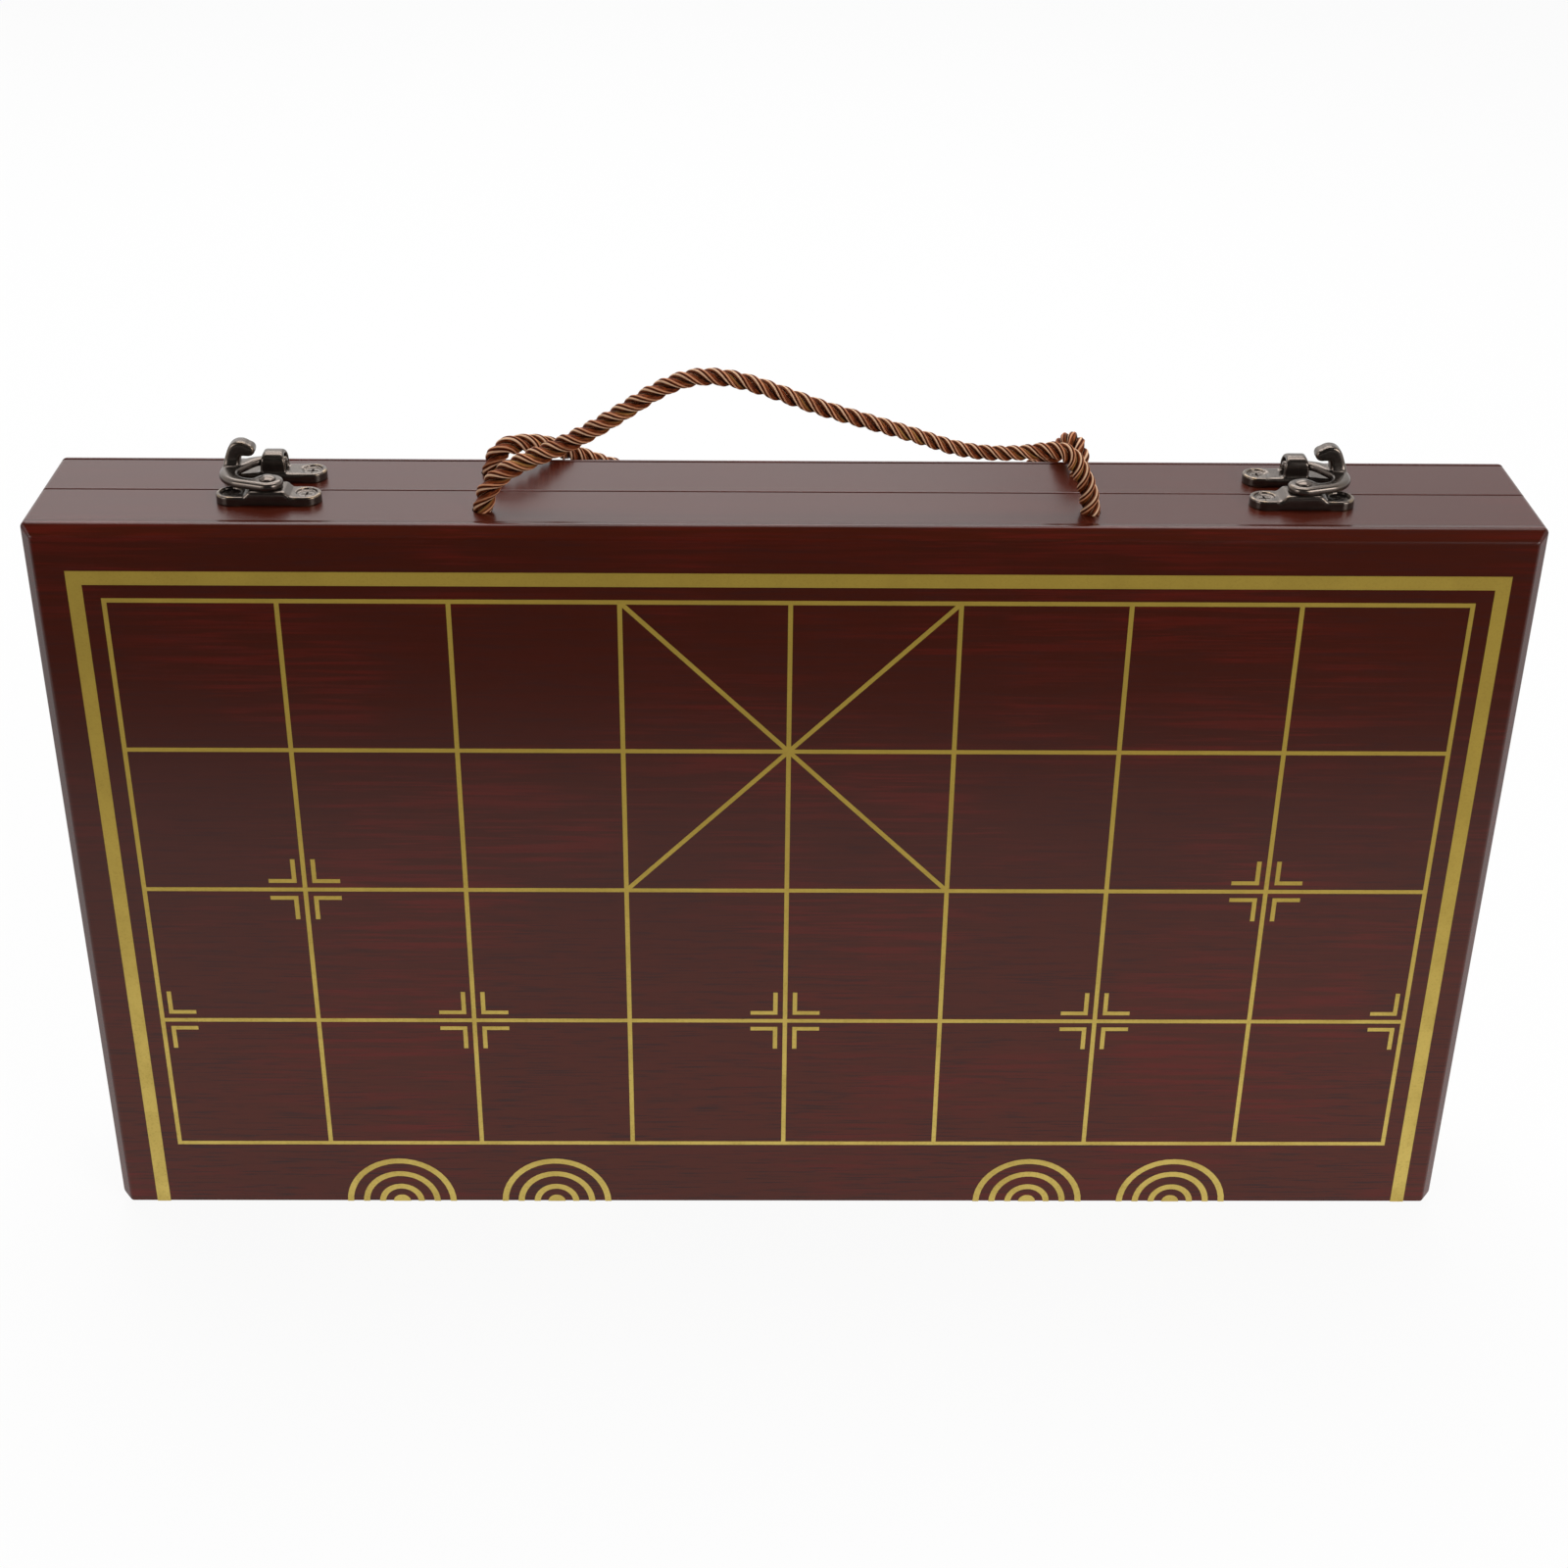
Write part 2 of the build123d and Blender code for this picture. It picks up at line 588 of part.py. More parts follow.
for label in ("board_panel", "board_lines", "spine_rail", "left_rail", "right_rail", "left_knot",
              "right_knot"):
    save(mirrored(front[label], Plane.XZ), "rear_" + label)
save(rear_latch_rail, "rear_top_rail")
save(rear_rope, "rear_rope")

right = {
    "latch_base": right_latch_base, "latch_rivet": right_latch_rivet, "latch_arm": right_latch_arm,
    "latch_base_screws": right_latch_base_screws, "catch_plate": right_catch_plate,
    "catch_screws": right_catch_screws, "hinge_front_leaf": right_hinge_front_leaf,
    "hinge_rear_leaf": right_hinge_rear_leaf, "hinge_pin": right_hinge_pin,
    "hinge_front_screws": right_hinge_front_screws, "hinge_rear_screws": right_hinge_rear_screws}
for label, piece in right.items():
    save(piece, "right_" + label)
    save(mirrored(piece, Plane.YZ), "left_" + label)
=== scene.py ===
import math

import bpy
import numpy as np
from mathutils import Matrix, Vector


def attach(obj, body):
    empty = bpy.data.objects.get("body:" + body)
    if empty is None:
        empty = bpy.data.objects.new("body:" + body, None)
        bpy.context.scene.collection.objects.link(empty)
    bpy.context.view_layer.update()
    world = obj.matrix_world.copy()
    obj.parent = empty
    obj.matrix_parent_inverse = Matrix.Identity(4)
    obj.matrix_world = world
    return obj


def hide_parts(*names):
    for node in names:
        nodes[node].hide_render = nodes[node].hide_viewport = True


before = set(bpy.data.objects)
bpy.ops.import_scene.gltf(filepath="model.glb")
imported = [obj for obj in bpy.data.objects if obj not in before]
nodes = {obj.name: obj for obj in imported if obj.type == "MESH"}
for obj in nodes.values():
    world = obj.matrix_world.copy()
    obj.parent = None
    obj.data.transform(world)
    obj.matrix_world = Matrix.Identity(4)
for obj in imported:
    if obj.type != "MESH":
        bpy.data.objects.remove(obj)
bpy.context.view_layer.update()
latchEdge = 0.2319             # height of the rails that carry the latches and cords
print("frame loaded:", len(nodes), "nodes")


def addObject(name, data):
    obj = bpy.data.objects.new(name, data)
    bpy.context.scene.collection.objects.link(obj)
    return obj


def meshObject(name, points, faces):
    mesh = bpy.data.meshes.new(name)
    mesh.from_pydata([tuple(p) for p in points], [], faces)
    mesh.validate()
    return addObject(name, mesh)


def dress(obj, finish):
    # a new material for a piece that keeps its shape
    obj.data.materials.clear()
    obj.data.materials.append(finish)


def addNumbers(mesh, label, values):
    # a number at each point, for the material to read
    mesh.attributes.new(label, "FLOAT", "POINT").data.foreach_set("value", np.array(values, np.float32))


def settle(obj):
    # modifiers become plain mesh
    bpy.context.view_layer.update()
    dg = bpy.context.evaluated_depsgraph_get()
    mesh = bpy.data.meshes.new_from_object(obj.evaluated_get(dg))
    obj.modifiers.clear()
    obj.data = mesh
    return obj


# camera first, then the cords
viewpoint = {"place": (-0.0117, -0.5986, 0.4921), "turn": (61.453, -0.505, -0.525), "lens": 54.07,
             "shift": (0.0076, -0.0535)}


def makeCamera(v):
    data = bpy.data.cameras.new("camera")
    data.sensor_width = 36
    data.lens = v["lens"]
    data.shift_x, data.shift_y = v["shift"]
    data.clip_start, data.clip_end = 0.01, 50
    obj = addObject("camera", data)
    obj.location = v["place"]
    obj.rotation_euler = [math.radians(a) for a in v["turn"]]
    bpy.context.scene.camera = obj


makeCamera(viewpoint)
print("camera placed")


# a socket that adds its Math nodes as it is used in sums
class Socket:
    def __init__(self, finish, out):
        self.finish, self.out = finish, out

    def maths(self, operation, a, b=0.0):
        return self.finish.node("ShaderNodeMath", {"operation": operation}, {0: a, 1: b})

    def __add__(self, other):
        return self.maths("ADD", self, other)

    def __radd__(self, other):
        return self.maths("ADD", other, self)

    def __sub__(self, other):
        return self.maths("SUBTRACT", self, other)

    def __rsub__(self, other):
        return self.maths("SUBTRACT", other, self)

    def __mul__(self, other):
        return self.maths("MULTIPLY", self, other)

    def __rmul__(self, other):
        return self.maths("MULTIPLY", other, self)

    def __abs__(self):
        return self.maths("ABSOLUTE", self)


# one material and the nodes in it
class Finish:
    def __init__(self, name, tree=None):
        self.tree = tree
        if tree is None:
            self.material = bpy.data.materials.new(name)
            self.material.use_nodes = True
            self.tree = self.material.node_tree
        self.tree.nodes.clear()

    def node(self, kind, settings, sockets, out=0):
        made = self.tree.nodes.new(kind)
        for key, value in settings.items():
            setattr(made, key, value)
        for key, value in sockets.items():
            if isinstance(value, Socket):
                self.tree.links.new(value.out, made.inputs[key])
            else:
                made.inputs[key].default_value = value
        return Socket(self, made.outputs[out] if made.outputs else None)

    def place(self, scale, shift=(0, 0, 0)):
        # the piece's own place in metres, scaled to a texture's size
        own = self.node("ShaderNodeTexCoord", {}, {}, "Object")
        return self.node("ShaderNodeMapping", {}, {"Vector": own, "Location": shift, "Scale": scale})

    def spot(self, x, y, z):
        return self.node("ShaderNodeCombineXYZ", {}, {0: x, 1: y, 2: z})

    def noise(self, where, detail=2.0, rough=0.5):
        return self.node("ShaderNodeTexNoise", {}, {"Vector": where, "Scale": 1.0, "Detail": detail,
                                                    "Roughness": rough})

    def height(self):
        # metres above the floor
        return self.node("ShaderNodeSeparateXYZ", {}, {0: self.place((1, 1, 1))}, 2)

    def fade(self, value, low, high, start=0.0, end=1.0):
        # start below low, end above high
        return self.node("ShaderNodeMapRange", {"interpolation_type": "SMOOTHSTEP"},
                         {"Value": value, "From Min": low, "From Max": high, "To Min": start, "To Max": end})

    def mix(self, share, a, b):
        a, b = [(*c, 1) if isinstance(c, tuple) else c for c in (a, b)]
        return self.node("ShaderNodeMix", {"data_type": "RGBA"}, {"Factor": share, 6: a, 7: b}, 2)

    def bump(self, height, strength, depth):
        return self.node("ShaderNodeBump", {}, {"Height": height, "Strength": strength, "Distance": depth})

    def named(self, attribute):
        return self.node("ShaderNodeAttribute", {"attribute_name": attribute}, {}, "Fac")

    def surface(self, **sockets):
        sockets = {key.replace("_", " ").title().replace("Ior", "IOR"): value
                   for key, value in sockets.items()}
        self.close(self.node("ShaderNodeBsdfPrincipled", {}, sockets), "ShaderNodeOutputMaterial")
        return self.material

    def close(self, shader, kind):
        self.node(kind, {}, {"Surface": shader})


# twisted cord handles
cordHandles = {
    "thick": 0.0047, "strands": 3, "strand": 0.00124, "strandOut": 0.00111, "around": 30, "steps": 24,
    "ridge": 0.00008, "crest": 0.42, "yarn": 0.62,       # yarns laid side by side in each strand
    # how far along, how thick against the plain cord, and one turn of the lay
    "run": [(0.000, 1.18, 0.0142), (0.012, 1.20, 0.0140), (0.026, 1.16, 0.0132), (0.045, 1.10, 0.0130),
            (0.085, 1.00, 0.0142), (0.115, 0.94, 0.0146), (0.145, 0.88, 0.0122), (0.170, 0.88, 0.0112),
            (0.183, 1.06, 0.0092), (0.198, 1.18, 0.0120), (0.212, 1.16, 0.0140)],
    "front": {"length": 0.2109, "route": [
        (-0.0825, -0.01275, -0.009), (-0.0825, -0.01275, -0.0047), (-0.0824, -0.0127, 0.0006),
        (-0.0809, -0.0126, 0.0062), (-0.0765, -0.0124, 0.0108), (-0.0696, -0.0122, 0.0144),
        (-0.0616, -0.0120, 0.0178), (-0.0532, -0.0119, 0.0222), (-0.0436, -0.0118, 0.0283),
        (-0.0344, -0.0117, 0.0345), (-0.0260, -0.0117, 0.0380), (-0.0175, -0.0117, 0.0381),
        (-0.0095, -0.0118, 0.0362), (-0.0010, -0.0118, 0.0331), (0.0096, -0.0119, 0.0291),
        (0.0230, -0.0120, 0.0252), (0.0355, -0.0121, 0.0214), (0.0450, -0.0122, 0.0181),
        (0.0544, -0.0123, 0.0168), (0.0638, -0.0124, 0.0171), (0.0716, -0.0125, 0.0182),
        (0.0760, -0.0126, 0.0169), (0.0790, -0.01265, 0.0120), (0.0815, -0.0127, 0.0064),
        (0.0824, -0.01274, 0.0006), (0.0825, -0.01275, -0.0046), (0.0825, -0.01275, -0.009)]},
    "rear": {"length": 0.2153, "route": [
        (-0.0825, 0.01275, -0.009), (-0.0825, 0.01275, -0.0047), (-0.0824, 0.0128, -0.0002),
        (-0.0816, 0.0128, 0.0044), (-0.0786, 0.0132, 0.0077), (-0.0742, 0.0160, 0.0074),
        (-0.0696, 0.0200, 0.0058), (-0.0647, 0.0242, 0.0028), (-0.0592, 0.0280, -0.0010),
        (-0.0525, 0.0296, -0.0042), (-0.0440, 0.0295, -0.0066), (-0.0330, 0.0293, -0.0086),
        (-0.0200, 0.0291, -0.0102), (-0.0060, 0.0290, -0.0112), (0.0080, 0.0291, -0.0113),
        (0.0220, 0.0290, -0.0106), (0.0350, 0.0291, -0.0096), (0.0470, 0.0293, -0.0085),
        (0.0575, 0.0295, -0.0078), (0.0665, 0.0298, -0.0064), (0.0730, 0.0296, -0.0039),
        (0.0772, 0.0276, -0.0002), (0.0789, 0.0242, 0.0040), (0.0802, 0.0207, 0.0075),
        (0.0818, 0.0162, 0.0079), (0.0826, 0.0129, 0.0046), (0.0825, 0.0128, -0.0002),
        (0.0825, 0.01275, -0.0047), (0.0825, 0.01275, -0.009)]},
}
# a stopper knot under the rail: once round its own middle, then the cut end
knotTie = {
    "under": 0.009, "run": [(0, 0.92, 0.010)], "route": [
        (0, 0, 0), (0, 0, -0.0012), (0.0014, -0.0002, -0.0024), (0.0030, 0.0006, -0.0029),
        (0.0019, 0.0028, -0.0031), (-0.0007, 0.0033, -0.0034), (-0.0030, 0.0016, -0.0038),
        (-0.0030, -0.0014, -0.0043), (-0.0010, -0.0032, -0.0047), (0.0017, -0.0029, -0.0050),
        (0.0032, -0.0008, -0.0053), (0.0016, 0.0010, -0.0062), (0.0002, 0.0003, -0.0080),
        (0, 0, -0.0105), (0.0001, 0, -0.0140), (0, 0, -0.0172)],
}


def routeLine(name, points, steps):
    # the smooth line of a route, read from its NURBS spline
    curve = bpy.data.curves.new(name, "CURVE")
    curve.dimensions = "3D"
    curve.resolution_u = steps
    spline = curve.splines.new("NURBS")
    spline.points.add(len(points) - 1)
    for knob, p in zip(spline.points, points):
        knob.co = (*p, 1)
    spline.order_u = 3
    spline.use_endpoint_u = True
    obj = addObject(name, curve)
    bpy.context.view_layer.update()
    mesh = bpy.data.meshes.new_from_object(obj)
    line = np.array([v.co for v in mesh.vertices])
    bpy.data.objects.remove(obj)
    return line


def lineFrames(line):
    # the way along the line and two sideways directions that don't twist about it
    ways = np.gradient(line, axis=0)
    ways /= np.linalg.norm(ways, axis=1)[:, None]
    side = np.cross(ways[0], (0, 1, 0))
    sides = []
    for way in ways:
        side = side - way * (side @ way)
        side = side / np.linalg.norm(side)
        sides.append(side)
    sides = np.array(sides)
    return ways, sides, np.cross(ways, sides)


def strandedTube(name, line, v, run):
    # strands laid one way round the line, as one closed skin
    ways, sideA, sideB = lineFrames(line)
    along = np.concatenate([[0], np.cumsum(np.linalg.norm(np.diff(line, axis=0), axis=1))])
    places, growths, lays = zip(*run)
    grows = np.interp(along, places, growths)
    turns = np.concatenate([[0], np.cumsum(np.diff(along) / np.interp(along[1:], places, lays))])
    half = math.radians(180 / v["strands"])
    widest = half + math.asin(v["strandOut"] / v["strand"] * math.sin(half))     # where two strands meet
    points, aroundAt, alongAt, strandAt = [], [], [], []
    for here, a, b, s, grow, turned in zip(line, sideA, sideB, along, grows, turns):
        for strand in range(v["strands"]):
            turn = 2 * math.pi * (turned + strand / v["strands"])
            for i in range(v["around"]):
                share = 2 * i / v["around"] - 1          # -1 in one groove, 1 in the next
                angle = share * widest
                r = v["strand"] + v["ridge"] * math.cos(2 * math.pi * (share - v["crest"]) / v["yarn"])
                out = v["strandOut"] + r * math.cos(angle)
                across = r * math.sin(angle)
                x = out * math.cos(turn) - across * math.sin(turn)
                y = out * math.sin(turn) + across * math.cos(turn)
                points.append(here + grow * (x * a + y * b))
                aroundAt.append(share)
                alongAt.append(s)
                strandAt.append(strand)
    n = v["strands"] * v["around"]
    faces = [tuple(range(n))[::-1], tuple(range((len(line) - 1) * n, len(line) * n))]
    for k in range(len(line) - 1):
        for i in range(n):
            j = (i + 1) % n
            faces.append((k * n + i, k * n + j, k * n + n + j, k * n + n + i))
    obj = meshObject(name, points, faces)
    for label, values in (("around", aroundAt), ("along", alongAt), ("strand", strandAt)):
        addNumbers(obj.data, label, values)
    obj.data.shade_smooth()
    return obj


# satin threads: dark rust, with two pale lines in each strand that are painted satin highlights, placed from
# -1 to 1 across it; some strands get painted golden bounce light, and the grooves between strands painted
# shade
cordThread = {
    "deep": (0.042, 0.0056, 0.0010), "rust": (0.280, 0.060, 0.0160), "goldenBounce": (0.560, 0.280, 0.080),
    "pale": (0.950, 0.600, 0.380), "secondHighlight": (0.860, 0.400, 0.210), "gap": (0.014, 0.0024, 0.0006),
    "paleAt": 0.42, "secondAt": -0.20, "darkAt": 0.11, "wide": 0.135,
    "slant": 4.0, "threads": 900.0, "threadsAcross": 8.0, "mottle": 60.0, "wander": 110.0, "wanderWide": 0.22,
    "shine": 0.05, "rough": (0.60, 0.46), "relief": (0.5, 0.00010),
}


def cordFinish(v):
    f = Finish("twistedCord")
    around, along, strand = f.named("around"), f.named("along"), f.named("strand")
    # fine threads cross each strand at a slant, and each strand reads its own part of a texture
    slant = around * v["slant"] + along * v["threads"]
    fine = f.noise(f.spot(slant, around * v["threadsAcross"], strand * 7.0), detail=2.0, rough=0.6)
    slow = f.noise(f.spot(along * v["mottle"], strand * 3.0, 0.0), detail=1.0)
    wander = (f.noise(f.spot(along * v["wander"], strand * 5.0, 4.0)) - 0.5) * v["wanderWide"]
    body = f.mix(f.fade(fine, 0.38, 0.64), v["deep"], v["rust"])
    low = f.fade(around, -0.85, -0.35, 1.0, 0.0)         # the yarn that leads into the next strand, which takes the painted golden bounce light
    # painted bounce light: a golden glow on that yarn, on stretches of some strands chosen by slow noise
    body = f.mix(low * f.fade(slow, 0.48, 0.68), body, v["goldenBounce"])
    body = f.mix(f.fade(abs(around - v["darkAt"]), 0.02, 0.20, 0.8, 0.0), body, v["deep"])
    fromPale = abs(around + wander - v["paleAt"])
    paleHighlightBand = f.fade(fromPale, v["wide"] * 0.5, v["wide"] * 1.5, 1.0, 0.0)
    fromSecond = abs(around + wander - v["secondAt"])
    secondHighlightBand = f.fade(fromSecond, v["wide"] * 0.4, v["wide"] * 1.3, 0.85, 0.0)
    # painted satin highlights: a pale line and a fainter second line along each strand stand in for the sheen
    # of the satin threads
    colour = f.mix(secondHighlightBand * f.fade(slow, 0.3, 0.6, 0.4, 1.0), body, v["secondHighlight"])
    colour = f.mix(paleHighlightBand * f.fade(fine, 0.2, 0.6, 0.75, 1.0), colour, v["pale"])
    # painted shade: dark towards the grooves between strands
    colour = f.mix(f.fade(abs(around), 0.66, 0.92), colour, v["gap"])
    return f.surface(base_color=colour, roughness=f.fade(fine, 0.3, 0.7, *v["rough"]),
                     specular_ior_level=v["shine"], normal=f.bump(fine + paleHighlightBand * 0.8, *v["relief"]))


def makeCords(v, tie, thread):
    cordCloth = cordFinish(thread)
    print("cord strands:")
    for half in ("front", "rear"):
        route = [(x, y, z + latchEdge) for x, y, z in v[half]["route"]]
        line = routeLine(half + "CordRoute", route, v["steps"])
        rope = strandedTube(half + "CordHandle", line, v, v["run"])
        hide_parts(half + "_rope")
        knots = []
        for side, flip, (x, y, z) in (("Left", 1, route[0]), ("Right", -1, route[-1])):
            tied = [(x + flip * a, y + flip * b, latchEdge - tie["under"] + c) for a, b, c in tie["route"]]
            knotLine = routeLine(half + side + "KnotRoute", tied, v["steps"])
            knot = strandedTube(half + side + "CordKnot", knotLine, v, tie["run"])
            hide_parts(half + "_" + side.lower() + "_knot")
            knots.append(knot)
        for piece in (rope, *knots):
            piece.data.materials.append(cordCloth)
            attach(piece, half + "_half")
        total = np.linalg.norm(np.diff(line, axis=0), axis=1).sum()
        print(" ", half, round(float(total), 4), "m,", len(rope.data.vertices), "points")


makeCords(cordHandles, knotTie, cordThread)


# stained and lacquered wood: a lively veneer on the playing faces, calmer wood in the frames
stainedWood = {
    "stain": (0.063, 0.0092, 0.0036), "lowStainAndLight": (0.100, 0.0150, 0.0058), "lowAt": (0.005, 0.190),
    "redStreak": (0.150, 0.0120, 0.0070), "darkStreak": (0.040, 0.0100, 0.0085),
    "streakLong": 0.0170, "streakHigh": 0.00062, "broad": 0.42, "narrow": 1.15,
    "patches": (14, 14, 22), "cloud": (7, 7, 9), "cloudRise": 0.05,
    "rough": (0.23, 0.27), "lacquer": 1.35, "wave": (55, 55, 55), "relief": (0.06, 0.0004),
}


def woodFinish(name, v, across, lively):
    # across is 1 for an axis that crosses the grain, 0 along it; the shifts keep the layers apart
    f = Finish(name)
    grain = [a / v["streakHigh"] + (1 - a) / v["streakLong"] for a in across]
    wide = f.noise(f.place([g * v["broad"] for g in grain], shift=(3.1, 1.7, 8.3)), detail=2.0)
    reds = f.noise(f.place(grain, shift=(6.1, 4.7, 2.3)), detail=2.0)
    darks = f.noise(f.place([g * v["narrow"] for g in grain]), detail=2.0, rough=0.6)
    patches = f.noise(f.place(v["patches"], shift=(5, 2, 1)), detail=2.0)
    cloud = f.noise(f.place(v["cloud"], shift=(1, 6, 3)), detail=1.0)
    low = f.fade(f.height() + (cloud - 0.5) * v["cloudRise"], *v["lowAt"], 1.0, 0.0)
    busy = (low * 0.5 + 0.5) * lively
    broadReds = f.fade(wide, 0.44, 0.66) * f.fade(patches, 0.38, 0.60, 0.1, 0.85) * busy
    fineReds = f.fade(reds, 0.54, 0.74) * f.fade(patches, 0.40, 0.58, 0.1, 0.8) * busy
    fineDarks = f.fade(darks, 0.50, 0.68) * f.fade(patches, 0.42, 0.66, 0.9, 0.35) * busy
    # lighter and redder lower down: partly the wood's own redder patches, partly painted light for a more
    # brightly lit lower face
    colour = f.mix(low, v["stain"], v["lowStainAndLight"])
    colour = f.mix(broadReds, colour, v["redStreak"])
    colour = f.mix(fineReds, colour, v["redStreak"])
    colour = f.mix(fineDarks, colour, v["darkStreak"])
    wave = f.noise(f.place(v["wave"]), detail=1.0)
    return f.surface(base_color=colour, roughness=f.fade(darks, 0.3, 0.7, *v["rough"]),
                     ior=v["lacquer"], normal=f.bump(wave, *v["relief"]))


boardPanel = {
    "width": 0.410, "bottom": 0.00165, "back": 0.0205, "face": 0.0255, "bevel": 0.003, "soft": 0.0007,
    "topCorner": 0.0015, "topTight": 0.5, "spineCorner": 0.0025, "spineTight": 0.75,
    "lip": 0.0004, "steps": 6,
}


def softened(points, soft, steps):
    # a run of straight pieces with its inner corners rounded
    points = [Vector(p) for p in points]
    run = [points[0]]
    for a, b, c in zip(points, points[1:], points[2:]):
        into, out = (a - b).normalized() * soft, (c - b).normalized() * soft
        for i in range(steps + 1):
            t = i / steps
            run.append(b + into * (1 - t) ** 2 + out * t ** 2)
    return run + [points[-1]]


def makePanel(name, v, sign):
    # rings from the tray frame out to the playing face, each a rounded rectangle
    profile = softened([(v["back"], 0), (v["face"] - v["bevel"], 0), (v["face"], v["bevel"]),
                        (v["face"], 2 * v["bevel"])], v["soft"], v["steps"])
    points, half = [], v["width"] / 2
    for y, inset in profile:
        share = min(1, inset / v["bevel"])
        depth = max(0, y - (v["face"] - v["lip"])) / v["lip"]
        low = v["lip"] * (1 - math.sqrt(max(0, 1 - depth ** 2)))
        if inset > v["bevel"] + v["soft"] * 1.01:
            low = v["bevel"]
        topR = v["topCorner"] * (1 - v["topTight"] * share)
        lowR = v["spineCorner"] * (1 - v["spineTight"] * share)
        corners = ((1, 1, topR, 0), (-1, 1, topR, 90), (-1, -1, lowR, 180), (1, -1, lowR, 270))
        for sx, sz, r, first in corners:
            x = sx * (half - inset - r)
            z = latchEdge - inset - r if sz > 0 else v["bottom"] + low + r
            for i in range(v["steps"] + 1):
                angle = math.radians(first + 90 * i / v["steps"])
                points.append((x + r * math.cos(angle), sign * y, z + r * math.sin(angle)))
    n = 4 * (v["steps"] + 1)
    rings = len(profile)
    faces = [tuple(range(n)), tuple(range((rings - 1) * n, rings * n))[::-1]]
    for k in range(rings - 1):
        for i in range(n):
            j = (i + 1) % n
            faces.append((k * n + i, k * n + n + i, k * n + n + j, k * n + j))
    if sign > 0:
        faces = [face[::-1] for face in faces]           # skin still faces outwards
    obj = meshObject(name, points, faces)
    obj.data.shade_smooth()
    flat = obj.modifiers.new("flat", "WEIGHTED_NORMAL")
    flat.keep_sharp = True
    return obj


boardWood = woodFinish("boardWood", stainedWood, (0, 1, 1), 1.0)
woodAlong = woodFinish("woodAlong", stainedWood, (0, 1, 1), 0.3)
woodUpright = woodFinish("woodUpright", stainedWood, (1, 1, 0), 0.45)
railWoods = {"top": woodAlong, "spine": woodAlong, "left": woodUpright, "right": woodUpright}
for half, sign in (("front", -1), ("rear", 1)):
    panel = makePanel(half + "BoardFace", boardPanel, sign)
    panel.data.materials.append(boardWood)
    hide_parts(half + "_board_panel")
    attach(panel, half + "_half")
    for rail, wood in railWoods.items():
        dress(nodes[f"{half}_{rail}_rail"], wood)
print("wooden trays made")


# printed board lines
goldPrint = {
    "ink": (0.510, 0.350, 0.052), "worn": (0.410, 0.275, 0.040), "lowLitInk": (0.720, 0.540, 0.130),
    "lowAt": (0.000, 0.170), "blotches": (90, 90, 90), "specks": (1500, 1500, 1500),
    "rough": (0.40, 0.50), "metal": 0.5, "relief": (0.25, 0.00004),
}


def goldFinish(v):
    f = Finish("goldPrint")
    blotches = f.noise(f.place(v["blotches"]), detail=3.0)
    specks = f.noise(f.place(v["specks"]), detail=1.0)
    # painted light: the ink is paler and brighter lower down, as if the lower face were lit more brightly
    ink = f.mix(f.fade(f.height(), *v["lowAt"], 1.0, 0.0), v["ink"], v["lowLitInk"])
    colour = f.mix(f.fade(blotches, 0.35, 0.7) * 0.35 + f.fade(specks, 0.5, 0.8) * 0.3, ink, v["worn"])
    return f.surface(base_color=colour, metallic=v["metal"],
                     roughness=f.fade(specks, 0.3, 0.7, *v["rough"]),
                     normal=f.bump(specks, *v["relief"]))


goldInk = goldFinish(goldPrint)
for half in ("front", "rear"):
    dress(nodes[half + "_board_lines"], goldInk)
print("board lines printed")


# latches: cast pieces with soft edges, painted shade darkening the hollows, and a little rubbed where hands
# reach, with a painted highlight on those edges too
latchCast = {
    "weld": 1e-6, "soften": 0.5, "middle": 0.141,
    "seats": {"from": 0.0062, "to": 0.0076, "crisp": 0.04, "levels": 20},      # away from the latch's middle
    "hood": {"middle": 0.1420, "from": 0.0042, "to": 0.0082, "narrow": 0.42},  # above the wood
    "dark": (0.108, 0.088, 0.075), "hollowShade": (0.012, 0.010, 0.009), "rubbedAndHighlight": (0.460, 0.320, 0.180),
    "rough": (0.19, 0.27), "metal": 0.90, "clouds": (380, 380, 380), "grit": (2400, 2400, 2400),
    "relief": (0.05, 0.00004),
}
latchScrews = {**latchCast, "dark": (0.170, 0.144, 0.126), "rubbedAndHighlight": (0.55, 0.48, 0.40),
               "rough": (0.21, 0.29)}
# grain of the skin, rounds of softening, growth that makes up for it; rounds and depth that find worn edges,
# which also get a painted highlight, and hollows, which get painted shade
latchParts = {
    "latch_base": {"body": "front_half", "slot": "aged_bronze", "shape": ("seats",),
                   "grain": 0.00016, "rounds": 100, "grow": 0.00014, "wear": (10, 0.00006)},
    "latch_rivet": {"body": "front_half", "slot": "aged_bronze", "shape": (),
                    "grain": 0.00010, "rounds": 10, "grow": 0.00003, "wear": (12, 0.00008)},
    "latch_arm": {"body": "latch_arm", "slot": "aged_bronze", "shape": (),
                  "grain": 0.00016, "rounds": 120, "grow": 0.00026, "wear": (14, 0.00008)},
    "catch_plate": {"body": "rear_half", "slot": "aged_bronze", "shape": ("hood", "seats"),
                    "grain": 0.00016, "rounds": 120, "grow": 0.00017, "wear": (10, 0.00006)},
    "latch_base_screws": {"body": "front_half", "slot": "dark_screws", "shape": (),
                          "grain": 0.00010, "rounds": 3, "grow": 0.0, "wear": (12, 0.00010)},
    "catch_screws": {"body": "rear_half", "slot": "dark_screws", "shape": (),
                     "grain": 0.00010, "rounds": 3, "grow": 0.0, "wear": (12, 0.00010)},
}


def meshPoints(mesh):
    co = np.zeros(len(mesh.vertices) * 3)
    mesh.vertices.foreach_get("co", co)
    return co.reshape(-1, 3)


